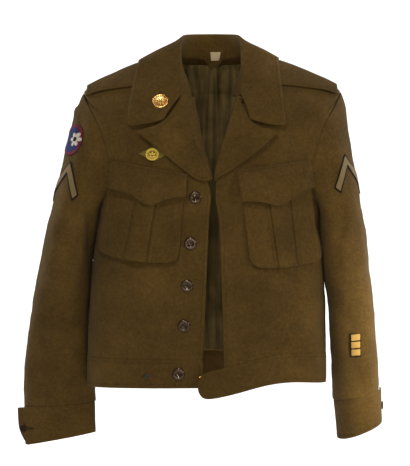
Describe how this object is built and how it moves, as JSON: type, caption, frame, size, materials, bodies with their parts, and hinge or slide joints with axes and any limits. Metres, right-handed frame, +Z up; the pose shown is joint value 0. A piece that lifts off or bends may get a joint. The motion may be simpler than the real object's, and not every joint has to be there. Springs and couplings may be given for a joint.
{
  "type": "military blouson",
  "caption": "Waist-length wool military blouson worn open: notched collar, pleated pockets with pointed flaps, shoulder loops, buttoned cuffs and a waistband, hollow inside.",
  "frame": {"origin": "between the shoulders at the base of the neck, where the garment hangs from its wearer's shoulders", "axes": "+Z up, the fronts face -Y, +X towards the wearer's left"},
  "size_m": [0.6083, 0.2202, 0.6925],
  "materials": {
    "olive_wool": "brushed olive-brown wool serge, matt",
    "olive_lining": "darker olive cotton lining with a slight sheen",
    "woven_label": "cream woven label without lettering",
    "gilt_brass": "bright gilt",
    "dark_buttons": "dark brown, glossy, dished",
    "blackened_steel": "blackened",
    "patch_embroidery": "blue embroidery with a red border",
    "rank_stripe": "khaki stripes on a dark ground",
    "gold_embroidery": "gold thread on olive ground"
  },
  "bodies": {
    "root": {"back": "olive_wool", "front_right": "olive_wool", "front_left": "olive_wool", "sleeve_right": "olive_wool", "sleeve_left": "olive_wool", "cuff_right": "olive_wool", "cuff_left": "olive_wool", "waistband_back": "olive_wool", "waistband_right": "olive_wool", "waistband_left": "olive_wool", "collar": "olive_wool", "lapel_right": "olive_wool", "lapel_left": "olive_wool", "shoulder_loop_right": "olive_wool", "shoulder_loop_left": "olive_wool", "pocket_right": "olive_wool", "pocket_left": "olive_wool", "flap_right": "olive_wool", "flap_left": "olive_wool", "lining": "olive_lining", "neck_patch": "olive_lining", "label": "woven_label", "collar_disc": "gilt_brass", "hook": "gilt_brass", "band_stud": "blackened_steel", "sleeve_patch": "patch_embroidery", "chevron_right": "rank_stripe", "chevron_left": "rank_stripe", "service_bars": "gold_embroidery", "lozenge_patch": "gold_embroidery", "front_button_1": "dark_buttons", "front_button_2": "dark_buttons", "front_button_3": "dark_buttons", "front_button_4": "dark_buttons", "band_button": "dark_buttons", "cuff_button_right": "dark_buttons", "cuff_button_left": "dark_buttons", "vent_button_left": "dark_buttons"}
  },
  "joints": []
}
